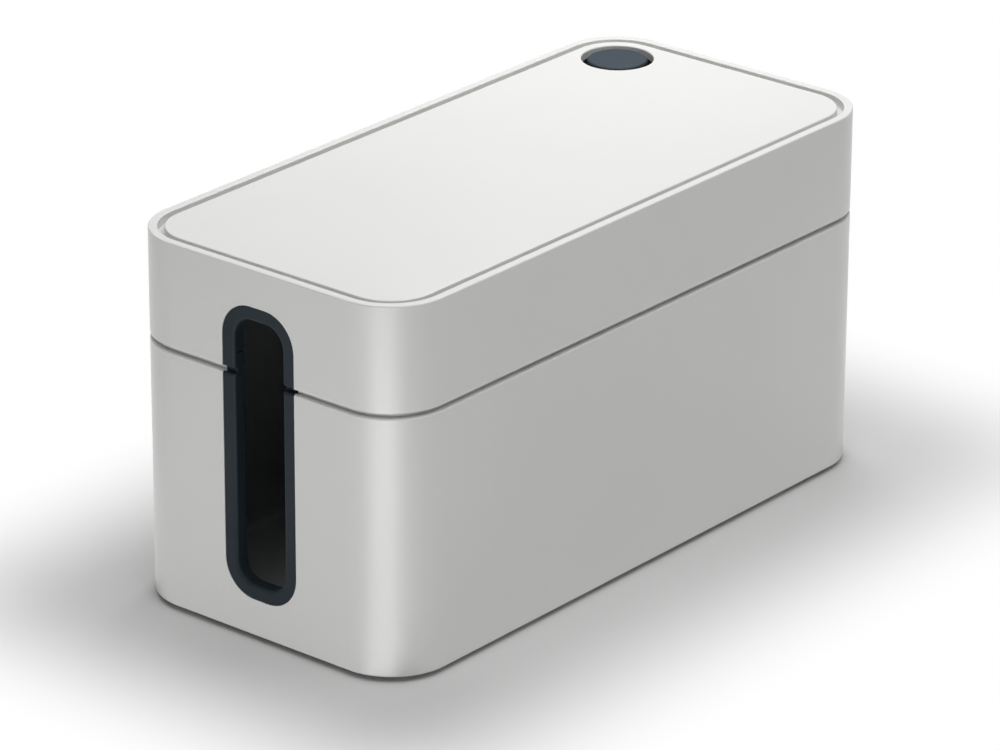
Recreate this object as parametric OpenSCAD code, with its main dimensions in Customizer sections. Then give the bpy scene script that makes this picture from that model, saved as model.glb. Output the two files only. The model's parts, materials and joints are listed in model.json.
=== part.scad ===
// Cable management box: a deep tub with a lift-off lid, a slot for the leads in
// each end, and a round outlet with a plug in one corner of the lid.
//
// Units are millimetres. X runs along the box, Y across it and Z up. The origin
// is the middle of the footprint, on the surface that the feet stand on.
// "Left" is the -X end, "right" the +X end, "front" the -Y side.

/* [Box] */
// Outside length
box_l = 246; // [190:1:320]
// Outside width
box_w = 116; // [90:1:160]
// Height of the tub, from its underside to its top edge
base_h = 88.3; // [60:0.1:130]
// Height of the lid, from its skirt's lower edge to its rim
lid_h = 35.7; // [29:0.1:60]
// Radius of the upright corners, seen from above
corner_r = 21; // [16:0.5:28]
// Thickness of the upright walls
wall = 3.2; // [2.6:0.1:4]
// Thickness of the tub's floor
floor_t = 3; // [2.4:0.1:5]

/* [Parting line] */
// Shadow gap between the tub and the lid's skirt
seam = 2; // [1:0.1:3]
// Depth of the lip behind the outer face
lip_inset = 2; // [1.9:0.05:2.4]
// Height of the lip above the tub's edge, which the lid sits on
lip_h = 7; // [5:0.5:9]
// Clearance between the lip and the lid's skirt
lip_clear = 0.15; // [0.1:0.05:0.3]

/* [Lid top] */
// Width of the raised rim
rim_w = 3.1; // [2.5:0.1:4]
// Width of the groove between the rim and the top panel
groove_w = 2.2; // [1.2:0.1:3]
// Thickness of the inlaid top panel
panel_t = 2.8; // [2:0.1:3.2]
// Step from the rim down to the panel
panel_sink = 0.2; // [0:0.05:0.6]
// Thickness of the deck that carries the panel
deck_t = 2; // [1.6:0.1:3]
// Thickness of the ribs that stiffen the deck from below
rib_t = 1.2; // [0.8:0.1:1.6]
// Height of the ribs
rib_h = 3; // [2:0.5:4]
// Distance between the two ribs that run along the lid
rib_spread = 38; // [36:1:44]

/* [Snap hooks] */
// Width of a hook
hook_w = 8; // [5:0.5:12]
// Thickness of a hook's leg
hook_t = 1.5; // [1.2:0.1:2]
// Reach of a hook's barb under the deck
hook_barb = 0.7; // [0.4:0.1:1.2]
// Height of a hook's barb
hook_tip = 1.6; // [1.2:0.1:2.5]
// Distance of the hooks from the panel's edge
hook_inset = 7; // [5:0.5:12]
// Clearance of a hook in its slot
hook_clear = 0.2; // [0.1:0.05:0.4]

/* [Cable ports] */
// Width of a port's cut-out in the wall
port_w = 30; // [25:0.5:40]
// Height of a port's lower end above the tub's underside
port_low = 12.7; // [8:0.1:30]
// Distance of a port's upper end below the lid's rim
port_high = 12.6; // [9:0.1:15.5]
// Corner radius of the cut-out
port_r = 12; // [9:0.5:12.5]
// Width of the trim's face
trim_band = 4.8; // [3.5:0.1:6.5]
// Depth of the trim from the outer face
trim_depth = 5; // [4.5:0.1:8]
// Reach of the trim's flange behind the wall
trim_flange = 2; // [1:0.1:3]
// Clearance of the trim in its cut-out
trim_fit = 0.1; // [0.05:0.05:0.2]
// Clearance between the two trims of a port where they pass each other
trim_gap = 0.2; // [0.1:0.05:0.4]
// Depth of the key rib in the cut-out behind the outer face
key_depth = 1; // [0.8:0.05:1.1]
// Thickness of the key rib
key_t = 0.7; // [0.5:0.05:0.75]
// Height of the key rib
key_h = 0.7; // [0.4:0.05:1]

/* [Cable outlet] */
// Diameter of the hole through the lid
outlet_d = 24.8; // [18:0.1:34]
// Land between the box's sides and the hole
outlet_land = 8.9; // [8:0.1:16]
// Ring gap between the hole and the plug's button
plug_gap = 2; // [1:0.1:3]
// Step from the panel down to the plug's top
plug_sink = 0.3; // [0:0.1:1]
// Thickness of the plug's top
plug_t = 2.2; // [1.5:0.1:3]
// Thickness of the plug's skirt
plug_wall = 2; // [1.5:0.1:3]
// Thickness of the plug's flange
plug_flange_t = 1.5; // [1:0.1:2.5]
// Clearance of the plug's flange in the sleeve
plug_clear = 0.3; // [0.2:0.05:0.5]
// Thickness of the sleeve's wall
sleeve_t = 1.6; // [1.2:0.1:2.5]
// Width of the ledge that the plug sits on
ledge_w = 2.9; // [2:0.1:4]
// Thickness of the ledge
ledge_t = 1.4; // [1:0.1:2]
// Thickness of the sleeve's flange
sleeve_flange_t = 1.2; // [1:0.1:2]
// Height of the collar under the deck
collar_h = 4; // [3:0.5:8]
// Thickness of the collar
collar_t = 1.5; // [1.2:0.1:2.5]
// Clearance of the sleeve in the collar
sleeve_fit = 0.1; // [0.05:0.05:0.2]

/* [Feet] */
// Diameter of a foot
foot_d = 12; // [8:0.5:18]
// Height that the feet lift the tub
foot_stand = 2; // [1:0.1:4]
// Depth of a foot's recess in the floor
foot_sink = 1; // [0.5:0.1:1.6]
// Distance of the feet's centres from the sides
foot_inset = 22; // [14:0.5:30]
// Clearance of a foot in its recess
foot_fit = 0.1; // [0.05:0.05:0.3]
// Number of grip grooves in a foot's underside
tread_count = 2; // [0:1:2]
// Distance between the grip grooves
tread_pitch = 1.2; // [1:0.1:1.4]
// Width of a grip groove
tread_w = 0.6; // [0.3:0.1:0.8]
// Depth of a grip groove
tread_depth = 0.4; // [0.2:0.1:0.8]

/* [Edges] */
// Radius of the tub's lower edge
base_edge_r = 0.6; // [0.3:0.1:1.5]
// Radius of the tub's upper edge
base_top_r = 0.4; // [0.2:0.1:0.8]
// Radius of the skirt's lower edge
skirt_edge_r = 0.2; // [0.1:0.05:0.4]
// Lead-in radius where the lip enters the skirt
lead_r = 0.5; // [0.3:0.1:0.8]
// Radius of the rim's outer edge
rim_edge_r = 0.5; // [0.3:0.1:1.5]
// Radius of the edges beside the groove, and of the outlet's mouth
groove_edge_r = 0.4; // [0.2:0.1:0.8]
// Radius of the trims' outer edges
trim_edge_r = 0.3; // [0.2:0.1:0.5]
// Radius of the trims' inner edges, where the leads bend over them
trim_lead_r = 1.2; // [0.6:0.1:2]
// Radius of the trims' back edges
trim_back_r = 0.4; // [0.2:0.1:0.8]
// Radius of the trims' ends at the parting line
trim_end_r = 0.8; // [0.4:0.1:1]
// Radius of the plug's top edge
plug_edge_r = 0.9; // [0.4:0.1:1.5]
// Radius of the feet's lower edges
foot_edge_r = 0.5; // [0.3:0.1:0.9]
// Radius between the floor and the walls, inside
floor_fillet = 3; // [1:0.5:6]
// Radius between the deck and the walls, inside
deck_fillet = 2; // [1:0.5:4]

/* [Hidden] */

$fn = 96;
shell_colour = "#d3d3d0";
panel_colour = "#dcdcd9";
trim_colour = "#2b3238";
plug_colour = "#535b62";
rubber_colour = "#303030";

// Overshoot of a cut past the faces it removes, and of a filler into its walls
over = 1;

// Heights, from the surface up
base_top = foot_stand + base_h;
floor_top = foot_stand + floor_t;
lip_top = base_top + lip_h;
skirt_z = base_top + seam;
lid_top = skirt_z + lid_h;
panel_top = lid_top - panel_sink;
deck_top = panel_top - panel_t;
deck_z = deck_top - deck_t;

// Lid
skirt_t = lip_inset - lip_clear;
panel_inset = rim_w + groove_w;
panel_l = box_l - 2 * panel_inset;
panel_w = box_w - 2 * panel_inset;
hook_pitch = panel_l / 3;

// Ports
port_z = foot_stand + port_low;
port_h = lid_top - port_high - port_z;

// Outlet
outlet_r = outlet_d / 2;
outlet_x = box_l / 2 - outlet_land - outlet_r;
outlet_y = box_w / 2 - outlet_land - outlet_r;
sleeve_r = outlet_r + sleeve_t;
collar_r = sleeve_r + sleeve_fit;
sleeve_z = deck_z - collar_h - sleeve_flange_t;
plug_z = sleeve_z + ledge_t;
plug_top = panel_top - plug_sink;
plug_r = outlet_r - plug_gap;
ledge_r = outlet_r - ledge_w;

// ---------------------------------------------------------------- helpers

// Plan outline: a rectangle with true arcs for corners
module round_rect(l, w, r) {
    square([l - 2 * r, w], center = true);
    square([l, w - 2 * r], center = true);
    for (x = [-1, 1], y = [-1, 1])
        translate([x * (l / 2 - r), y * (w / 2 - r)]) circle(r);
}

// The web between a corner at the origin and the arc that rounds it, for a
// corner that opens towards +x and +y. Taken away from a corner it rounds it,
// and added in a hollow one it fills it.
module corner_web(r) {
    difference() {
        translate([-over, -over]) square(r + over);
        translate([r, r]) circle(r);
    }
}

// Rounds the upper left, lower right or upper right corner in the same way
module corner_web_ul(r) { mirror([0, 1]) corner_web(r); }
module corner_web_lr(r) { mirror([1, 0]) corner_web(r); }
module corner_web_ur(r) { mirror([1, 0]) mirror([0, 1]) corner_web(r); }

// Sweeps a section round a rounded rectangle. In the section, x is the distance
// inwards from the outline and y is the height.
module sweep_round(l, w, r) {
    for (side = [0:3]) {
        reach = (side % 2 == 0 ? l : w) / 2;
        run = (side % 2 == 0 ? w : l) - 2 * r;
        rotate([0, 0, 90 * side]) {
            translate([reach, 0, 0]) rotate([90, 0, 0])
                linear_extrude(run, center = true) mirror([1, 0]) children();
            translate([reach - r, run / 2, 0])
                rotate_extrude(angle = 90) translate([r, 0]) mirror([1, 0]) children();
        }
    }
}

// Frame of a port: x runs across it, y up, and z from the outer face inwards.
// end is 0 for the left port and 1 for the right one.
module port_frame(end) {
    mirror([end, 0, 0])
        translate([-box_l / 2, 0, port_z + port_h / 2]) rotate([90, 0, 90]) children();
}

module port_outline(inset) {
    round_rect(port_w - 2 * inset, port_h - 2 * inset, port_r - inset);
}

// A plate of thickness t on height z, from the mould wall's stub inwards
module inner_plate(z, t) {
    inset = 2 * (wall + over);
    translate([0, 0, z]) linear_extrude(t)
        round_rect(box_l - inset, box_w - inset, corner_r - inset / 2);
}

// The cut-outs of both ports, which leave a key rib half way through the wall
module port_cuts() {
    for (end = [0, 1]) port_frame(end) {
        translate([0, 0, -over]) linear_extrude(over + key_depth) port_outline(0);
        linear_extrude(wall + over) port_outline(key_h);
        translate([0, 0, key_depth + key_t])
            linear_extrude(wall + over - key_depth - key_t) port_outline(0);
    }
}

// ---------------------------------------------------------------- tub

// Wall of the tub, with the lip on top and the stub of the floor
module base_section() {
    difference() {
        union() {
            translate([0, foot_stand]) square([wall, base_h]);
            translate([lip_inset, floor_top]) square([wall - lip_inset, lip_top - floor_top]);
            translate([0, foot_stand]) square([wall + floor_fillet + over, floor_t]);
            translate([wall, floor_top]) corner_web(floor_fillet);
        }
        translate([0, foot_stand]) corner_web(base_edge_r);
        translate([0, base_top]) corner_web_ul(base_top_r);
        translate([lip_inset, lip_top]) corner_web_ul(lead_r);
    }
}

module base_tub() {
    color(shell_colour) difference() {
        union() {
            sweep_round(box_l, box_w, corner_r) base_section();
            inner_plate(foot_stand, floor_t);
        }
        port_cuts();
        for (x = [-1, 1], y = [-1, 1])
            at_foot(x, y) translate([0, 0, foot_stand - over])
                cylinder(h = foot_sink + over, d = foot_d + 2 * foot_fit);
    }
}

// ---------------------------------------------------------------- lid

// Wall of the lid: a thin skirt round the lip, a shoulder that sits on it, the
// stub of the deck, and the rim
module lid_section() {
    difference() {
        union() {
            translate([0, skirt_z]) square([skirt_t, lid_h]);
            translate([0, lip_top]) square([wall, deck_top - lip_top]);
            translate([0, deck_z]) square([rim_w, lid_top - deck_z]);
            translate([0, deck_z]) square([wall + deck_fillet + over, deck_t]);
            translate([wall, deck_z]) corner_web_ul(deck_fillet);
        }
        translate([0, skirt_z]) corner_web(skirt_edge_r);
        translate([skirt_t, skirt_z]) corner_web_lr(lead_r);
        translate([0, lid_top]) corner_web_ul(rim_edge_r);
        translate([rim_w, lid_top]) corner_web_ur(groove_edge_r);
    }
}

// Places a hook at each spot round the panel, with x pointing outwards
module at_hooks() {
    for (side = [0, 1], i = [-1:1])
        rotate([0, 0, 180 * side]) translate([i * hook_pitch, panel_w / 2 - hook_inset, 0])
            rotate([0, 0, 90]) children();
    for (side = [0, 1])
        rotate([0, 0, 180 * side]) translate([panel_l / 2 - hook_inset, 0, 0]) children();
}

// Ribs under the deck: two along the lid, and one across it between each two
// hooks. They run into the walls.
module deck_ribs() {
    translate([0, 0, deck_z - rib_h]) linear_extrude(rib_h + deck_t / 2) {
        for (y = [-1, 1])
            translate([0, y * rib_spread / 2]) square([box_l - wall, rib_t], center = true);
        for (x = [-1, 1])
            translate([x * hook_pitch / 2, 0]) square([rib_t, box_w - wall], center = true);
    }
}

module lid_shell() {
    color(shell_colour) difference() {
        union() {
            sweep_round(box_l, box_w, corner_r) lid_section();
            inner_plate(deck_z, deck_t);
            deck_ribs();
            at_outlet() translate([0, 0, deck_z - collar_h])
                cylinder(h = collar_h + deck_t / 2, r = collar_r + collar_t);
        }
        port_cuts();
        at_outlet() translate([0, 0, deck_z - collar_h - over])
            cylinder(h = collar_h + deck_t + 2 * over, r = collar_r);
        at_hooks() translate([-hook_t - hook_clear, -hook_w / 2 - hook_clear, deck_z - over])
            cube([hook_t + hook_barb + 2 * hook_clear, hook_w + 2 * hook_clear,
                  deck_t + 2 * over]);
    }
}

// A leg through the deck with a barb under it, rising to the panel
module snap_hook() {
    rotate([90, 0, 0]) linear_extrude(hook_w, center = true) polygon([
        [-hook_t, deck_top + panel_t / 2], [-hook_t, deck_z - hook_tip],
        [0, deck_z - hook_tip], [hook_barb, deck_z - hook_tip / 3],
        [hook_barb, deck_z], [0, deck_z], [0, deck_top + panel_t / 2]
    ]);
}

// Edge of the panel, and the stub of its plate
module panel_section() {
    difference() {
        square([wall + over, panel_t]);
        translate([0, panel_t]) corner_web_ul(groove_edge_r);
    }
}

module lid_top_panel() {
    inset = 2 * wall;
    color(panel_colour) {
        difference() {
            translate([0, 0, deck_top]) {
                sweep_round(panel_l, panel_w, corner_r - panel_inset) panel_section();
                linear_extrude(panel_t) round_rect(panel_l - inset, panel_w - inset,
                                                   corner_r - panel_inset - wall);
            }
            at_outlet() {
                translate([0, 0, deck_top - over]) cylinder(h = panel_t + 2 * over, r = outlet_r);
                rotate_extrude() translate([outlet_r, panel_top]) corner_web_ul(groove_edge_r);
            }
        }
        at_hooks() snap_hook();
    }
}

// ---------------------------------------------------------------- outlet

module at_outlet() {
    translate([outlet_x, outlet_y, 0]) children();
}

// Liner pushed through the collar and the deck from below, up to the panel, with
// a ledge for the plug
module outlet_sleeve() {
    sleeve_top = deck_top - sleeve_fit;
    flange_top = sleeve_z + sleeve_flange_t;
    flange_r = collar_r + collar_t;
    color(trim_colour) at_outlet() rotate_extrude() polygon([
        [ledge_r, sleeve_z], [flange_r, sleeve_z], [flange_r, flange_top],
        [sleeve_r, flange_top], [sleeve_r, sleeve_top], [outlet_r, sleeve_top],
        [outlet_r, plug_z], [ledge_r, plug_z]
    ]);
}

// Hollow plug: a round button on a skirt, with a flange that sits on the ledge
module outlet_plug() {
    color(plug_colour) at_outlet() rotate_extrude() difference() {
        union() {
            translate([0, plug_z]) square([plug_r, plug_top - plug_z]);
            translate([0, plug_z]) square([outlet_r - plug_clear, plug_flange_t]);
            translate([plug_r, plug_z + plug_flange_t]) intersection() {
                corner_web(plug_gap / 4);
                square(plug_gap);
            }
        }
        translate([-over, plug_z - over])
            square([over + plug_r - plug_wall, plug_top - plug_z - plug_t + over]);
        translate([plug_r, plug_top]) corner_web_ur(plug_edge_r);
    }
}

// ---------------------------------------------------------------- port trims

// Section of a trim: x runs from the cut-out's edge into the port, and y from
// the outer face inwards. A groove takes the wall's key rib.
module trim_section() {
    difference() {
        union() {
            square([trim_band, trim_depth]);
            translate([-trim_flange, wall])
                square([trim_flange + trim_band, trim_depth - wall]);
        }
        translate([-over, key_depth - trim_fit])
            square([over + key_h, key_t + 2 * trim_fit]);
        corner_web(trim_edge_r);
        translate([trim_band, 0]) corner_web_lr(trim_lead_r);
        translate([trim_band, trim_depth]) corner_web_ur(trim_back_r);
    }
}

// The whole ring of trim round a port, before it is split at the parting line
module trim_ring(end) {
    port_frame(end) sweep_round(port_w - 2 * trim_fit, port_h - 2 * trim_fit,
                                port_r - trim_fit) trim_section();
}

// Prism across an end wall. In its section, x is the depth and y the height.
module end_prism(end) {
    mirror([end, 0, 0]) translate([-box_l / 2, 0, 0]) rotate([90, 0, 0])
        linear_extrude(port_w + 4 * trim_flange, center = true) children();
}

// U-shaped trim in the tub. Behind the lid's skirt it rises as the lip does.
module port_trim_lower(end) {
    back = trim_depth + over;
    color(trim_colour) intersection() {
        trim_ring(end);
        end_prism(end) difference() {
            union() {
                translate([-over, 0]) square([over + back, base_top]);
                translate([lip_inset, 0]) square([back - lip_inset, lip_top - trim_gap]);
            }
            translate([0, base_top]) corner_web_ul(trim_end_r);
        }
    }
}

// Arch-shaped trim in the lid, cut back to pass the rising legs of the lower one
module port_trim_upper(end) {
    back = trim_depth + over;
    color(trim_colour) intersection() {
        trim_ring(end);
        end_prism(end) difference() {
            union() {
                translate([-over, skirt_z]) square([over + skirt_t, lid_h]);
                translate([0, lip_top + trim_gap]) square([back, lid_h]);
            }
            translate([0, skirt_z]) corner_web(trim_end_r);
        }
    }
}

// ---------------------------------------------------------------- feet

module at_foot(x, y) {
    translate([x * (box_l / 2 - foot_inset), y * (box_w / 2 - foot_inset), 0]) children();
}

// Round foot, with ring grooves for grip in its underside
module foot(x, y) {
    color(rubber_colour) at_foot(x, y) rotate_extrude() difference() {
        square([foot_d / 2, foot_stand + foot_sink]);
        translate([foot_d / 2, 0]) corner_web_lr(foot_edge_r);
        for (i = [1:1:tread_count])
            translate([foot_d / 2 - i * tread_pitch - tread_w, -over])
                square([tread_w, over + tread_depth]);
    }
}

base_tub();
lid_shell();
lid_top_panel();
outlet_sleeve();
outlet_plug();
port_trim_lower(0);  // port_trim_left_lower
port_trim_upper(0);  // port_trim_left_upper
port_trim_lower(1);  // port_trim_right_lower
port_trim_upper(1);  // port_trim_right_upper
foot(-1, -1);  // foot_front_left
foot(1, -1);  // foot_front_right
foot(-1, 1);  // foot_back_left
foot(1, 1);  // foot_back_right
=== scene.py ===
"""Finishes, moulding marks, light and camera for a cable management box.

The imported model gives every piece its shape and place. This script gives the moulded shells their fine spark-eroded
grain and the soft parts their matt rubber, and it adds the small round marks that the ejector pins leave inside. All
lengths are in metres.
"""

import json
import math

import bpy
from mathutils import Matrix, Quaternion, Vector


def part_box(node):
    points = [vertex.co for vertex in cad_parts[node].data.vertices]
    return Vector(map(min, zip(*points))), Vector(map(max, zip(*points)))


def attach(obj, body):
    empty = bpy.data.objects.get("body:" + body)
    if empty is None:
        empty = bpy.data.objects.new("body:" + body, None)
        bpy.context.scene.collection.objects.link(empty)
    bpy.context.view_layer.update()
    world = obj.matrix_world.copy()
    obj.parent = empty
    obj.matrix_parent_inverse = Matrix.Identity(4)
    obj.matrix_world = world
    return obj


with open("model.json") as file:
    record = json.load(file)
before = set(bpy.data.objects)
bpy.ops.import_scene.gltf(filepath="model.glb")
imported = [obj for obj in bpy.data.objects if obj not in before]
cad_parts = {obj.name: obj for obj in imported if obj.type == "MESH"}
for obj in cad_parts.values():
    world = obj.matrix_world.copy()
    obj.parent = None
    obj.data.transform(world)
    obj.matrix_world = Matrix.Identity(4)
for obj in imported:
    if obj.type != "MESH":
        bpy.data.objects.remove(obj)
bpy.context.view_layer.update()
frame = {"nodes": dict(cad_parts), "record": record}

MM = 0.001

# ---------------------------------------------------------------- sizes that the finishes follow

TUB_LOW, TUB_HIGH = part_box("base_tub")
LID_LOW, LID_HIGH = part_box("lid_shell")
PANEL_LOW, PANEL_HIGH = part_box("lid_top_panel")

HALF_LENGTH = LID_HIGH.x
HALF_WIDTH = LID_HIGH.y
CORNER_RADIUS = 21 * MM
WALL = 3.2 * MM
FLOOR_THICKNESS = 3 * MM
LIP_HEIGHT = 7 * MM
DECK_THICKNESS = 2 * MM
PANEL_THICKNESS = 2.8 * MM

INSIDE_FLOOR = TUB_LOW.z + FLOOR_THICKNESS
TUB_EDGE = TUB_HIGH.z - LIP_HEIGHT
SKIRT_EDGE = LID_LOW.z
RIM_EDGE = LID_HIGH.z
DECK_UNDERSIDE = PANEL_HIGH.z - PANEL_THICKNESS - DECK_THICKNESS

OUTLET_LOW, OUTLET_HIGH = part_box("outlet_sleeve")
OUTLET = (OUTLET_LOW + OUTLET_HIGH) / 2
OUTLET_REACH = (OUTLET_HIGH.x - OUTLET_LOW.x) / 2
PLUG_RADIUS = 10.4 * MM

# ---------------------------------------------------------------- finishes, as linear colours

SHELL_GREY = (0.700, 0.700, 0.684)
PANEL_GREY = (0.715, 0.715, 0.700)
# Painted highlight: the paler grey that the polished edges are mixed towards.
EDGE_HIGHLIGHT_GREY = (0.80, 0.80, 0.79)
# Painted shade: the dark grey that the core side is mixed towards, standing in for the shade inside the box.
CORE_SHADE_GREY = (0.25, 0.262, 0.275)
TRIM_SLATE = (0.011, 0.018, 0.024)
PLUG_SLATE = (0.015, 0.028, 0.040)
# Painted shade: the near black that the plug's round edge is darkened towards.
PLUG_EDGE_SHADE_BLACK = (0.002, 0.003, 0.004)
SLEEVE_BLACK = (0.012, 0.014, 0.016)
FOOT_BLACK = (0.022, 0.023, 0.024)
DUST_GREY = (0.33, 0.33, 0.33)
PAPER_GREY = (0.69, 0.69, 0.69)
WHITE = (1.0, 1.0, 1.0)

# ---------------------------------------------------------------- how strongly each effect shows

PLASTIC_CLOUDING = 0.018
PLASTIC_UNEVENNESS = 0.6
PLASTIC_SHEEN_SWING = 0.10
PLASTIC_DUST = 0.035
PLASTIC_DUST_DULLNESS = 0.5
PLASTIC_BUMP = 0.7
PLASTIC_REFRACTION = 1.53

RUBBER_CLOUDING = 0.10
RUBBER_UNEVENNESS = 0.4
RUBBER_SHEEN_SWING = 0.14
RUBBER_DUST_DULLNESS = 0.4
RUBBER_BUMP = 0.8
# Painted shade: how far the plug's round edge goes towards that near black.
PLUG_EDGE_SHADE_SHARE = 0.8

EDGE_REACH = 1.1 * MM
EDGE_POLISH = 0.10
# Painted highlight: how far the edges go towards that paler grey.
EDGE_HIGHLIGHT_SHARE = 0.25

CORE_DULLNESS = 0.12
CORE_BUMP_LOSS = 0.45
# Painted shade: how far the core side goes towards that dark grey.
CORE_SHADE_SHARE = 0.8

# ---------------------------------------------------------------- node helpers


def add(tree, kind, inputs=None, **settings):
    """A new node. Each input takes a plain value or the socket that feeds it."""
    made = tree.nodes.new(kind)
    for key, value in settings.items():
        setattr(made, key, value)
    for key, value in (inputs or {}).items():
        if isinstance(value, bpy.types.NodeSocket):
            tree.links.new(value, made.inputs[key])
        else:
            made.inputs[key].default_value = value
    return made


def as_labels(inputs):
    """Inputs given as keywords, under the labels of their sockets."""
    return {name.replace("_", " ").title(): value for name, value in inputs.items()}


def calc(tree, operation, *values, clamp=False):
    """A Math node's result."""
    inputs = dict(enumerate(values))
    return add(tree, "ShaderNodeMath", inputs, operation=operation, use_clamp=clamp).outputs[0]


def vector_calc(tree, operation, *values):
    """A Vector Math node's result: a number for LENGTH and DOT_PRODUCT, and a vector for the rest."""
    made = add(tree, "ShaderNodeVectorMath", dict(enumerate(values)), operation=operation)
    return made.outputs["Value" if operation in ("LENGTH", "DOT_PRODUCT") else "Vector"]


def height_of(tree, place):
    """A point's height."""
    return add(tree, "ShaderNodeSeparateXYZ", {"Vector": place}).outputs["Z"]


def distance_outside(tree, place, half_length, half_width):
    """How far a point lies outside an upright block round the origin, measured level. It is 0 within the block."""
    flat = vector_calc(tree, "MULTIPLY", vector_calc(tree, "ABSOLUTE", place), (1, 1, 0))
    past = vector_calc(tree, "SUBTRACT", flat, (half_length, half_width, 0))
    return vector_calc(tree, "LENGTH", vector_calc(tree, "MAXIMUM", past, (0, 0, 0)))


def distance_from_axis(tree, place, middle):
    """How far a point lies from the upright axis through a middle."""
    away = vector_calc(tree, "SUBTRACT", place, middle)
    return vector_calc(tree, "LENGTH", vector_calc(tree, "MULTIPLY", away, (1, 1, 0)))


def ramp(tree, value, low, high, to_low=0.0, to_high=1.0):
    """Maps low..high smoothly to to_low..to_high, and holds the ends."""
    inputs = {"Value": value, "From Min": low, "From Max": high, "To Min": to_low, "To Max": to_high}
    return add(tree, "ShaderNodeMapRange", inputs, interpolation_type="SMOOTHSTEP").outputs[0]


def noise(tree, place, size, detail=2.0, roughness=0.5):
    """Noise from 0 to 1 whose features measure about size."""
    inputs = {"Vector": place, "Scale": 1 / size, "Detail": detail, "Roughness": roughness}
    return add(tree, "ShaderNodeTexNoise", inputs).outputs[0]


def mix_colour(tree, share, first, second):
    """A Mix node on colours. Its inputs go by number, because the names repeat for each kind of data."""
    return add(tree, "ShaderNodeMix", {0: share, 6: first, 7: second}, data_type="RGBA").outputs[2]


def seen_directly(tree):
    """1 for what the camera sees, straight on, mirrored or through a clear piece, and 0 for what lights the scene."""
    seen = tree.nodes.new("ShaderNodeLightPath").outputs
    direct = calc(tree, "ADD", seen["Is Camera Ray"], seen["Is Glossy Ray"])
    return calc(tree, "ADD", direct, seen["Is Transmission Ray"], clamp=True)


def rgba(colour):
    """A colour with full cover."""
    return (*colour, 1.0)


def new_group(name, inputs, outputs):
    """An empty shader node group with named sockets: the tree, its given inputs and its results."""
    kinds = {"number": "NodeSocketFloat", "vector": "NodeSocketVector", "colour": "NodeSocketColor"}
    tree = bpy.data.node_groups.new(name, "ShaderNodeTree")
    for label, kind, value in inputs:
        socket = tree.interface.new_socket(label, in_out="INPUT", socket_type=kinds[kind])
        if value is not None:
            socket.default_value = value
    for label, kind in outputs:
        tree.interface.new_socket(label, in_out="OUTPUT", socket_type=kinds[kind])
    return tree, tree.nodes.new("NodeGroupInput").outputs, tree.nodes.new("NodeGroupOutput").inputs


def effect(tree, group, **inputs):
    """A node group placed in a material, with its own values."""
    return add(tree, "ShaderNodeGroup", as_labels(inputs), node_tree=group).outputs


# ---------------------------------------------------------------- effects, each built once


def make_grain():
    """Fine texture of a spark-eroded mould, and a slow unevenness of the surface under it."""
    tree, given, result = new_group(
        "moulded_grain",
        [("Place", "vector", None), ("Grain Size", "number", 0.4 * MM), ("Unevenness", "number", 0.15)],
        [("Height", "number"), ("Shine", "number")],
    )
    cell_weight = 0.5
    scale = calc(tree, "DIVIDE", 1.0, given["Grain Size"])
    pits = add(tree, "ShaderNodeTexNoise", {"Vector": given["Place"], "Scale": scale, "Detail": 3.0}).outputs[0]
    cells = add(
        tree, "ShaderNodeTexVoronoi", {"Vector": given["Place"], "Scale": scale, "Smoothness": 0.6},
        feature="SMOOTH_F1",
    ).outputs["Distance"]
    fine = calc(tree, "MULTIPLY_ADD", cells, cell_weight, pits)
    slow = noise(tree, given["Place"], 9 * MM)
    tree.links.new(calc(tree, "MULTIPLY_ADD", slow, given["Unevenness"], fine), result["Height"])
    patches = noise(tree, given["Place"], 34 * MM, detail=3.0, roughness=0.6)
    tree.links.new(calc(tree, "SUBTRACT", patches, 0.5), result["Shine"])
    return tree


def make_tone():
    """Faint clouding of a pigmented moulding: flow marks at two scales, lighter and darker than its colour."""
    tree, given, result = new_group(
        "moulded_tone",
        [("Place", "vector", None), ("Colour", "colour", (0.5, 0.5, 0.5, 1)), ("Depth", "number", 0.02)],
        [("Colour", "colour")],
    )
    narrow_weight = 0.35
    middle = (1 + narrow_weight) / 2
    broad = noise(tree, given["Place"], 55 * MM)
    narrow = noise(tree, given["Place"], 4 * MM, detail=4.0, roughness=0.65)
    both = calc(tree, "MULTIPLY_ADD", narrow, narrow_weight, broad)
    swing = calc(tree, "MULTIPLY", calc(tree, "SUBTRACT", both, middle), given["Depth"])
    level = calc(tree, "MULTIPLY_ADD", swing, 2.0, 1.0)
    scaled = add(tree, "ShaderNodeVectorMath", {0: given["Colour"], "Scale": level}, operation="SCALE")
    tree.links.new(scaled.outputs["Vector"], result["Colour"])
    return tree


def make_dust():
    """Specks and a thin film of dust, most of it on faces that look up."""
    tree, given, result = new_group(
        "settled_dust",
        [("Place", "vector", None), ("Amount", "number", 0.1)],
        [("Mask", "number")],
    )
    speck_weight = 0.7
    film_weight = 0.5
    on_walls = 0.15
    normal = add(tree, "ShaderNodeNewGeometry").outputs["Normal"]
    upward = ramp(tree, vector_calc(tree, "DOT_PRODUCT", normal, (0, 0, 1)), 0.2, 0.95, to_low=on_walls)
    specks = ramp(tree, noise(tree, given["Place"], 0.7 * MM, detail=1.0), 0.66, 0.74)
    film = noise(tree, given["Place"], 12 * MM, detail=4.0, roughness=0.7)
    laid = calc(tree, "MULTIPLY_ADD", specks, speck_weight, calc(tree, "MULTIPLY", film, film_weight))
    mask = calc(tree, "MULTIPLY", calc(tree, "MULTIPLY", laid, upward), given["Amount"], clamp=True)
    tree.links.new(mask, result["Mask"])
    return tree


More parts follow.
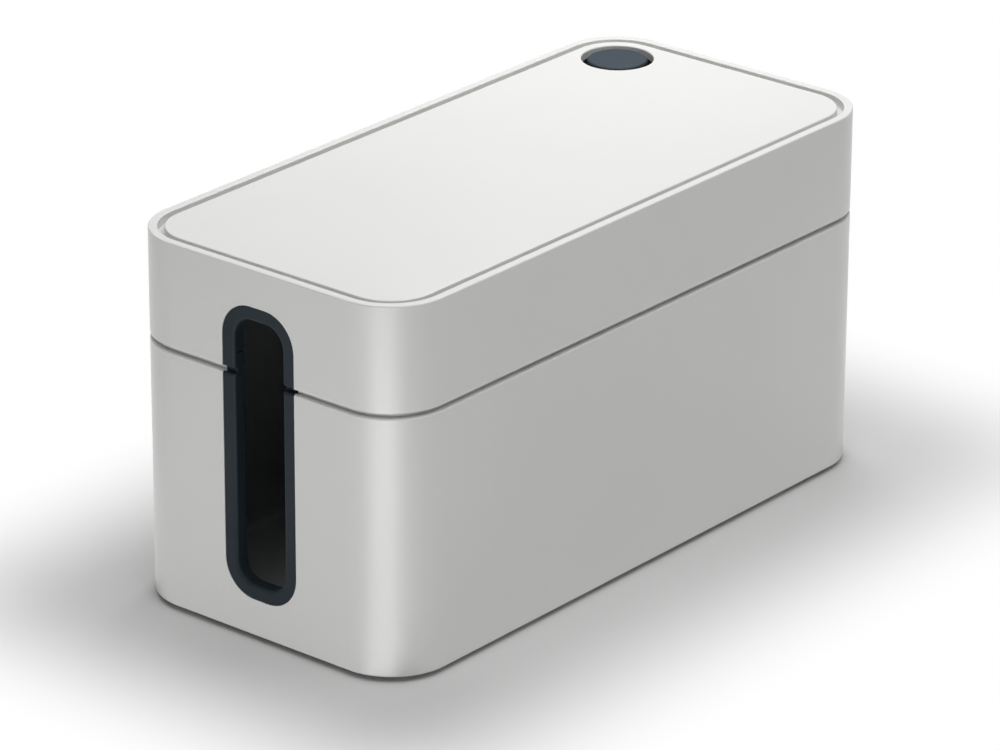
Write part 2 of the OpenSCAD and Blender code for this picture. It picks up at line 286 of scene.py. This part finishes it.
def make_rubbed_and_highlit_edge():
    """How near a point of the outside is to an edge that runs round the box at one height, from 0 to 1, in patches."""
    tree, given, result = new_group(
        "rubbed_and_highlit_edge",
        [("Place", "vector", None), ("Edge Height", "number", 0.1), ("Reach", "number", 1 * MM)],
        [("Mask", "number")],
    )
    patch_swing = 0.8
    least_patch = 0.4
    away = calc(tree, "ABSOLUTE", calc(tree, "SUBTRACT", height_of(tree, given["Place"]), given["Edge Height"]))
    near = calc(tree, "SUBTRACT", 1.0, calc(tree, "DIVIDE", away, given["Reach"]), clamp=True)
    patches = calc(tree, "MULTIPLY_ADD", noise(tree, given["Place"], 15 * MM, detail=3.0), patch_swing, least_patch)
    tree.links.new(calc(tree, "MULTIPLY", near, patches, clamp=True), result["Mask"])
    return tree


def make_round_edge():
    """1 from the given radius outwards round an upright axis, and 0 further in, over a soft step."""
    tree, given, result = new_group(
        "round_edge",
        [("Place", "vector", None), ("Middle", "vector", (0, 0, 0)), ("Radius", "number", 10 * MM)],
        [("Mask", "number")],
    )
    past = calc(tree, "SUBTRACT", distance_from_axis(tree, given["Place"], given["Middle"]), given["Radius"])
    tree.links.new(ramp(tree, past, -0.9 * MM, -0.1 * MM), result["Mask"])
    return tree


def make_core_side():
    """1 on the core side of the shells, which the mould left duller and which is painted darker as shade, and 0 on
    the outside. It measures a point's distance in from the outline, a rectangle with round corners, and its height."""
    tree, given, result = new_group(
        "core_side",
        [("Place", "vector", None), ("Lowest", "number", 0.0), ("Highest", "number", 0.1)],
        [("Mask", "number")],
    )
    outward = distance_outside(tree, given["Place"], HALF_LENGTH - CORNER_RADIUS, HALF_WIDTH - CORNER_RADIUS)
    inward = calc(tree, "SUBTRACT", CORNER_RADIUS, outward)
    within = ramp(tree, inward, WALL - 0.6 * MM, WALL - 0.2 * MM)
    height = height_of(tree, given["Place"])
    above = calc(tree, "GREATER_THAN", height, given["Lowest"])
    below = calc(tree, "LESS_THAN", height, given["Highest"])
    mask = calc(tree, "MULTIPLY", within, calc(tree, "MULTIPLY", above, below))
    tree.links.new(mask, result["Mask"])
    return tree


GRAIN = make_grain()
TONE = make_tone()
DUST = make_dust()
RUBBED_AND_HIGHLIT_EDGE = make_rubbed_and_highlit_edge()
ROUND_EDGE = make_round_edge()
CORE_SIDE = make_core_side()

# ---------------------------------------------------------------- materials


def new_material(name):
    """A material with a Principled shader: its tree, the shader's inputs, and Object coordinates."""
    material = bpy.data.materials.new(name)
    material.use_nodes = True
    tree = material.node_tree
    tree.nodes.clear()
    shader = tree.nodes.new("ShaderNodeBsdfPrincipled")
    output = tree.nodes.new("ShaderNodeOutputMaterial")
    tree.links.new(shader.outputs[0], output.inputs["Surface"])
    place = tree.nodes.new("ShaderNodeTexCoord").outputs["Object"]
    return material, tree, shader.inputs, place


def moulded_plastic(name, colour, roughness, grain, relief, edges=(), core=None):
    """Pigmented plastic with a fine grain. Grain is the grain's size and relief its depth. Edges are the heights of
    the edges that handling polishes and along which a highlight is painted, and core is the range of heights in which
    faces inside the outline are dull and painted darker as shade."""
    material, tree, shader, place = new_material(name)
    tone = effect(tree, TONE, place=place, colour=rgba(colour), depth=PLASTIC_CLOUDING)["Colour"]
    texture = effect(tree, GRAIN, place=place, grain_size=grain, unevenness=PLASTIC_UNEVENNESS)
    dust = effect(tree, DUST, place=place, amount=PLASTIC_DUST)["Mask"]
    level = calc(tree, "MULTIPLY_ADD", texture["Shine"], PLASTIC_SHEEN_SWING, roughness)
    height = texture["Height"]
    for edge in edges:
        rubbed_and_highlit = effect(tree, RUBBED_AND_HIGHLIT_EDGE, place=place, edge_height=edge, reach=EDGE_REACH)["Mask"]
        level = calc(tree, "MULTIPLY_ADD", rubbed_and_highlit, -EDGE_POLISH, level)
        # Painted highlight: the edge is paled towards a lighter grey, as a highlight along it would look; the lower
        # roughness above is real polish.
        tone = mix_colour(tree, calc(tree, "MULTIPLY", rubbed_and_highlit, EDGE_HIGHLIGHT_SHARE), tone, rgba(EDGE_HIGHLIGHT_GREY))
    if core:
        inside = effect(tree, CORE_SIDE, place=place, lowest=core[0], highest=core[1])["Mask"]
        level = calc(tree, "MULTIPLY_ADD", inside, CORE_DULLNESS, level)
        height = calc(tree, "MULTIPLY", height, calc(tree, "MULTIPLY_ADD", inside, -CORE_BUMP_LOSS, 1.0))
        # Painted shade: the core side is darkened towards a dark grey, standing in for the shade inside the box.
        tone = mix_colour(tree, calc(tree, "MULTIPLY", inside, CORE_SHADE_SHARE), tone, rgba(CORE_SHADE_GREY))
    tree.links.new(mix_colour(tree, dust, tone, rgba(DUST_GREY)), shader["Base Color"])
    tree.links.new(calc(tree, "MULTIPLY_ADD", dust, PLASTIC_DUST_DULLNESS, level), shader["Roughness"])
    bump = add(tree, "ShaderNodeBump", {"Height": height, "Distance": relief, "Strength": PLASTIC_BUMP})
    tree.links.new(bump.outputs[0], shader["Normal"])
    shader["IOR"].default_value = PLASTIC_REFRACTION
    return material


def soft_rubber(name, colour, roughness, grain, relief, dust_amount, refraction, shaded_edge=None):
    """Matt elastomer: a tight grain, a slight clouding, and the dust that such a surface holds. Refraction is low
    where a powdery skin takes the gloss away. Shaded edge is the middle and the radius of a round edge that is
    painted dark as shade."""
    material, tree, shader, place = new_material(name)
    tone = effect(tree, TONE, place=place, colour=rgba(colour), depth=RUBBER_CLOUDING)["Colour"]
    texture = effect(tree, GRAIN, place=place, grain_size=grain, unevenness=RUBBER_UNEVENNESS)
    dust = effect(tree, DUST, place=place, amount=dust_amount)["Mask"]
    if shaded_edge:
        # Painted shade: the plug's round edge is darkened, standing in for the shade it lies in, and keeps no dust.
        edge = effect(tree, ROUND_EDGE, place=place, middle=shaded_edge[0], radius=shaded_edge[1])["Mask"]
        tone = mix_colour(tree, calc(tree, "MULTIPLY", edge, PLUG_EDGE_SHADE_SHARE), tone, rgba(PLUG_EDGE_SHADE_BLACK))
        dust = calc(tree, "MULTIPLY", dust, calc(tree, "SUBTRACT", 1.0, edge))
    tree.links.new(mix_colour(tree, dust, tone, rgba(DUST_GREY)), shader["Base Color"])
    level = calc(tree, "MULTIPLY_ADD", texture["Shine"], RUBBER_SHEEN_SWING, roughness)
    tree.links.new(calc(tree, "MULTIPLY_ADD", dust, RUBBER_DUST_DULLNESS, level), shader["Roughness"])
    bump = add(tree, "ShaderNodeBump", {"Height": texture["Height"], "Distance": relief, "Strength": RUBBER_BUMP})
    tree.links.new(bump.outputs[0], shader["Normal"])
    shader["IOR"].default_value = refraction
    return material


CORE_MARGIN = 0.1 * MM
CORE_HEIGHTS = (INSIDE_FLOOR - CORE_MARGIN, DECK_UNDERSIDE + CORE_MARGIN)

SHELL = moulded_plastic(
    "shell_plastic", SHELL_GREY, roughness=0.42, grain=0.32 * MM, relief=0.012 * MM,
    edges=(TUB_EDGE, SKIRT_EDGE, RIM_EDGE), core=CORE_HEIGHTS,
)
PIN_MARK = moulded_plastic(
    "pin_mark_plastic", SHELL_GREY, roughness=0.30, grain=0.5 * MM, relief=0.004 * MM, core=CORE_HEIGHTS,
)
PANEL = moulded_plastic(
    "top_panel_plastic", PANEL_GREY, roughness=0.40, grain=0.28 * MM, relief=0.010 * MM, edges=(PANEL_HIGH.z,),
)
TRIM = soft_rubber(
    "trim_rubber", TRIM_SLATE, roughness=0.56, grain=0.22 * MM, relief=0.012 * MM, dust_amount=0.015,
    refraction=1.23,
)
PLUG = soft_rubber(
    "plug_rubber", PLUG_SLATE, roughness=0.60, grain=0.22 * MM, relief=0.012 * MM, dust_amount=0.015,
    refraction=1.29, shaded_edge=(OUTLET, PLUG_RADIUS),
)
SLEEVE = soft_rubber(
    "sleeve_rubber", SLEEVE_BLACK, roughness=0.60, grain=0.25 * MM, relief=0.012 * MM, dust_amount=0.01,
    refraction=1.40,
)
FOOT = soft_rubber(
    "foot_rubber", FOOT_BLACK, roughness=0.66, grain=0.30 * MM, relief=0.020 * MM, dust_amount=0.03,
    refraction=1.40,
)


def finish_nodes():
    """Gives each CAD piece the material of its slot."""
    by_slot = {"shell": SHELL, "top_panel": PANEL, "trim": TRIM, "plug": PLUG, "sleeve": SLEEVE, "foot": FOOT}
    for part in frame["record"]["subparts"]:
        piece = frame["nodes"][part["node"]]
        piece.data.materials.clear()
        piece.data.materials.append(by_slot[part["material_slot"]])


finish_nodes()

# ---------------------------------------------------------------- marks that the mould leaves

MARK_SIZES = {
    "Pin Diameter": 7 * MM, "Land": 0.08 * MM, "Chamfer": 0.25 * MM, "Ridge": 0.12 * MM, "Sunk": 0.3 * MM,
}
MARK_SIDES = 40
RIDGE_SIDES = 8

PIN_COLUMNS = 6
PIN_ROWS = 3
PIN_COLUMN_PITCH = (PANEL_HIGH.x - PANEL_LOW.x) / PIN_COLUMNS
TUB_ROW_PITCH = 34 * MM
LID_ROW_PITCH = 32 * MM
PIN_TO_OUTLET = 5 * MM


def pin_mark_tree():
    """Geometry Nodes for a grid of ejector-pin marks. Each is a shallow round land with a fine ridge round it. Marks
    within the keep-out circle are left away."""
    tree = bpy.data.node_groups.new("ejector_pin_marks", "GeometryNodeTree")
    kinds = {
        "Columns": "Int", "Rows": "Int", "Column Pitch": "Float", "Row Pitch": "Float", "Height": "Float",
        "Turn": "Rotation", "Keep Out": "Vector", "Keep Out Radius": "Float", "Finish": "Material",
        **{name: "Float" for name in MARK_SIZES},
    }
    for name, kind in kinds.items():
        tree.interface.new_socket(name, in_out="INPUT", socket_type="NodeSocket" + kind)
    tree.interface.new_socket("Marks", in_out="OUTPUT", socket_type="NodeSocketGeometry")
    given = tree.nodes.new("NodeGroupInput").outputs
    result = tree.nodes.new("NodeGroupOutput").inputs["Marks"]

    def geometry(kind, **inputs):
        return add(tree, "GeometryNode" + kind, as_labels(inputs)).outputs[0]

    def raised(shape, height):
        up = add(tree, "ShaderNodeCombineXYZ", {"Z": height}).outputs[0]
        return geometry("Transform", geometry=shape, translation=up)

    def span(count, pitch):
        return calc(tree, "MULTIPLY", calc(tree, "SUBTRACT", count, 1.0), pitch)

    radius = calc(tree, "DIVIDE", given["Pin Diameter"], 2.0)
    land = geometry(
        "MeshCone", vertices=MARK_SIDES, radius_top=calc(tree, "SUBTRACT", radius, given["Chamfer"]),
        radius_bottom=radius, depth=calc(tree, "ADD", given["Land"], given["Sunk"]),
    )
    land = raised(land, calc(tree, "MULTIPLY", given["Sunk"], -1.0))
    circle = geometry("CurvePrimitiveCircle", resolution=MARK_SIDES, radius=radius)
    bead = geometry("CurvePrimitiveCircle", resolution=RIDGE_SIDES, radius=given["Ridge"])
    ridge = geometry("CurveToMesh", curve=circle, profile_curve=bead)
    mark = tree.nodes.new("GeometryNodeJoinGeometry")
    for shape in (land, ridge):
        tree.links.new(shape, mark.inputs[0])

    places = geometry(
        "MeshGrid", vertices_x=given["Columns"], vertices_y=given["Rows"],
        size_x=span(given["Columns"], given["Column Pitch"]), size_y=span(given["Rows"], given["Row Pitch"]),
    )
    point = tree.nodes.new("GeometryNodeInputPosition").outputs[0]
    kept_out = calc(tree, "LESS_THAN", distance_from_axis(tree, point, given["Keep Out"]), given["Keep Out Radius"])
    places = geometry("DeleteGeometry", geometry=places, selection=kept_out)
    marks = geometry("InstanceOnPoints", points=places, instance=mark.outputs[0], rotation=given["Turn"])
    marks = geometry("RealizeInstances", geometry=raised(marks, given["Height"]))
    tree.links.new(geometry("SetMaterial", geometry=marks, material=given["Finish"]), result)
    return tree


def grown(name, tree, sizes):
    """The plain mesh that a Geometry Nodes tree makes with the given sizes, on an object at the origin."""
    maker = bpy.data.objects.new(name + "_maker", bpy.data.meshes.new(name + "_maker"))
    bpy.context.scene.collection.objects.link(maker)
    modifier = maker.modifiers.new("maker", "NODES")
    modifier.node_group = tree
    sockets = {item.name: item.identifier for item in tree.interface.items_tree if item.in_out == "INPUT"}
    for label, value in sizes.items():
        modifier[sockets[label]] = value
    mesh = bpy.data.meshes.new_from_object(maker.evaluated_get(bpy.context.evaluated_depsgraph_get()))
    bpy.data.objects.remove(maker)
    piece = bpy.data.objects.new(name, mesh)
    bpy.context.scene.collection.objects.link(piece)
    return piece


def make_pin_marks():
    """Ejector-pin marks on the tub's floor and under the lid's deck, clear of its outlet."""
    tree = pin_mark_tree()
    shared = {
        "Columns": PIN_COLUMNS, "Rows": PIN_ROWS, "Column Pitch": PIN_COLUMN_PITCH, "Finish": PIN_MARK, **MARK_SIZES,
    }
    grids = {
        "base": {"Row Pitch": TUB_ROW_PITCH, "Height": INSIDE_FLOOR},
        "lid": {
            "Row Pitch": LID_ROW_PITCH, "Height": DECK_UNDERSIDE, "Turn": (math.pi, 0, 0),
            "Keep Out": tuple(OUTLET), "Keep Out Radius": OUTLET_REACH + PIN_TO_OUTLET,
        },
    }
    for body, grid in grids.items():
        piece = grown(f"pin_marks_{body}", tree, {**shared, **grid})
        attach(piece, body)


make_pin_marks()

# ---------------------------------------------------------------- floor and surroundings

FLOOR_REACH = 6.0
FADE_START = 5 * MM
FADE_END = 90 * MM
# Painted light: the least share of the white glow, which lightens the floor's shadow right at the box.
LEAST_WHITE = 0.03


def make_floor():
    """A pale floor that fades to white away from the box, and keeps the box's shadow. The white is a painted glow that
    the camera and reflections see, and a small share of it stays at the box and lightens its shadow there.
    """
    mesh = bpy.data.meshes.new("studio_floor")
    corners = [(x * FLOOR_REACH, y * FLOOR_REACH, 0) for x, y in ((-1, -1), (1, -1), (1, 1), (-1, 1))]
    mesh.from_pydata(corners, [], [(0, 1, 2, 3)])
    floor = bpy.data.objects.new("studio_floor", mesh)
    bpy.context.scene.collection.objects.link(floor)
    material = bpy.data.materials.new("floor_paper")
    material.use_nodes = True
    tree = material.node_tree
    tree.nodes.clear()
    place = tree.nodes.new("ShaderNodeTexCoord").outputs["Object"]
    distance = distance_outside(tree, place, HALF_LENGTH, HALF_WIDTH)
    share = calc(tree, "MULTIPLY", ramp(tree, distance, FADE_START, FADE_END, to_low=LEAST_WHITE), seen_directly(tree))
    paper = add(tree, "ShaderNodeBsdfDiffuse", {"Color": rgba(PAPER_GREY)}).outputs[0]
    white = add(tree, "ShaderNodeEmission", {"Color": rgba(WHITE), "Strength": 1.0}).outputs[0]
    blend = add(tree, "ShaderNodeMixShader", {0: share, 1: paper, 2: white}).outputs[0]
    tree.links.new(blend, tree.nodes.new("ShaderNodeOutputMaterial").inputs["Surface"])
    mesh.materials.append(material)


def make_world():
    """White for what the camera and reflections see. The lamps light the rest."""
    world = bpy.data.worlds.new("studio")
    world.use_nodes = True
    bpy.context.scene.world = world
    tree = world.node_tree
    tree.nodes.clear()
    sky = add(tree, "ShaderNodeBackground", {"Color": rgba(WHITE), "Strength": seen_directly(tree)}).outputs[0]
    tree.links.new(sky, tree.nodes.new("ShaderNodeOutputWorld").inputs["Surface"])


make_floor()
make_world()

# ---------------------------------------------------------------- lamps

LIGHT_AIM = Vector((0, 0, 60 * MM))
FLOOR_LAMP_HEIGHT = 1 * MM
REFLECTOR_HEIGHT = 1.2 * MM

# Floor lamps start just clear of the box, and those side by side don't overlap.
LAMP_GAP = 0.5 * MM
PAST_END = HALF_LENGTH + LAMP_GAP
PAST_SIDE = HALF_WIDTH + LAMP_GAP
NEAR_LEFT = 180 * MM
NEAR_FRONT = 30 * MM

CORNER_AZIMUTH = -61
CORNER_STRIPS = (
    {"distance": 1 * MM, "length": 11 * MM, "width": 14 * MM, "brightness": 4.2},
    {"distance": 12 * MM, "length": 33 * MM, "width": 35 * MM, "brightness": 3.8},
    {"distance": 45 * MM, "length": 85 * MM, "width": 80 * MM, "brightness": 3.5},
    {"distance": 130 * MM, "length": 200 * MM, "width": 180 * MM, "brightness": 5.5},
)


def direction(azimuth, elevation):
    """Unit vector towards a viewer or lamp. Azimuth 0 is the front, the -Y side, and 90 the right end, +X."""
    a, e = math.radians(azimuth), math.radians(elevation)
    return Vector((math.sin(a) * math.cos(e), -math.cos(a) * math.cos(e), math.sin(e)))


def rectangle_lamp(name, length, width, brightness):
    """A rectangular lamp that the camera doesn't see. Brightness 1 is the brightness of white paper."""
    lamp = bpy.data.lights.new(name, "AREA")
    lamp.shape = "RECTANGLE"
    lamp.size, lamp.size_y = length, width
    lamp.energy = brightness * math.pi * length * width
    holder = bpy.data.objects.new(name, lamp)
    holder.visible_camera = False
    bpy.context.scene.collection.objects.link(holder)
    return holder


def softbox(name, azimuth, elevation, distance, width, height, brightness):
    """A lamp that faces the box."""
    holder = rectangle_lamp(name, width, height, brightness)
    towards = direction(azimuth, elevation)
    holder.location = LIGHT_AIM + towards * distance
    holder.rotation_mode = "QUATERNION"
    holder.rotation_quaternion = towards.to_track_quat("Z", "Y")


def floor_lamp(name, start, azimuth, length, width, brightness, height=FLOOR_LAMP_HEIGHT):
    """A lamp that lies on the floor and shines up, as a pale floor throws light back. It runs from the middle of its
    near end along the azimuth."""
    holder = rectangle_lamp(name, length, width, brightness)
    outwards = direction(azimuth, 0)
    holder.location = Vector((*start, height)) + outwards * length / 2
    holder.rotation_euler = (math.pi, 0, math.atan2(outwards.y, outwards.x))
    return holder


def corner_reflector(azimuth, strips):
    """A fan of lamps on the floor that runs out from the near upright corner, and that only reflections see. It draws
    a bright band down the corner's rounding. Each strip starts at its distance from the corner."""
    middle = Vector((CORNER_RADIUS - HALF_LENGTH, CORNER_RADIUS - HALF_WIDTH, 0))
    for number, strip in enumerate(strips):
        start = middle + direction(azimuth, 0) * (CORNER_RADIUS + strip["distance"])
        holder = floor_lamp(
            f"corner_reflector_{number}", start.xy, azimuth, strip["length"], strip["width"], strip["brightness"],
            height=REFLECTOR_HEIGHT,
        )
        holder.visible_diffuse = False


softbox("over_near_corner", azimuth=-50, elevation=60, distance=1.3, width=1.0, height=1.0, brightness=2.15)
softbox("over_front", azimuth=20, elevation=60, distance=1.3, width=1.0, height=1.0, brightness=1.3)
softbox("over_right", azimuth=95, elevation=60, distance=0.7, width=0.6, height=0.6, brightness=0.47)
softbox("over_back", azimuth=175, elevation=55, distance=0.8, width=0.8, height=0.6, brightness=0.92)
softbox("close_right", azimuth=115, elevation=60, distance=0.42, width=0.2, height=0.2, brightness=4.4)

floor_lamp("floor_left", (-PAST_END, -0.075), azimuth=-90, length=NEAR_LEFT, width=0.45, brightness=0.60)
floor_lamp("far_floor_left", (-PAST_END - NEAR_LEFT, -0.02), azimuth=-90, length=0.55, width=0.5, brightness=1.32)
floor_lamp("floor_front", (0, -PAST_SIDE), azimuth=0, length=NEAR_FRONT, width=2 * PAST_END, brightness=0.30)
floor_lamp(
    "far_floor_front", (0, -PAST_SIDE - NEAR_FRONT), azimuth=0, length=0.47, width=2 * PAST_END, brightness=0.16,
)
floor_lamp("floor_right", (PAST_END, -0.1), azimuth=90, length=0.5, width=0.7, brightness=0.38)
floor_lamp("floor_back", (0, PAST_SIDE), azimuth=180, length=0.5, width=2 * PAST_END, brightness=0.45)
corner_reflector(CORNER_AZIMUTH, CORNER_STRIPS)

# ---------------------------------------------------------------- camera

VIEW_AZIMUTH = -50.294
VIEW_ELEVATION = 23.062
VIEW_ROLL = 0.211
VIEW_DISTANCE = 1.8755
VIEW_AIM = Vector((-3.265 * MM, 1.168 * MM, 53.853 * MM))
LENS = 204.57
SENSOR = 36.0
NEAREST = 0.1
FARTHEST = 30


def make_camera():
    """The camera, turned about its own line of sight by a small roll."""
    camera = bpy.data.objects.new("camera", bpy.data.cameras.new("camera"))
    camera.data.lens = LENS
    camera.data.sensor_width = SENSOR
    camera.data.clip_start = NEAREST
    camera.data.clip_end = FARTHEST
    back = direction(VIEW_AZIMUTH, VIEW_ELEVATION)
    camera.location = VIEW_AIM + back * VIEW_DISTANCE
    camera.rotation_mode = "QUATERNION"
    roll = Quaternion(back, math.radians(VIEW_ROLL))
    camera.rotation_quaternion = roll @ back.to_track_quat("Z", "Y")
    bpy.context.scene.collection.objects.link(camera)
    bpy.context.scene.camera = camera


make_camera()
bpy.context.scene.view_settings.view_transform = "Standard"
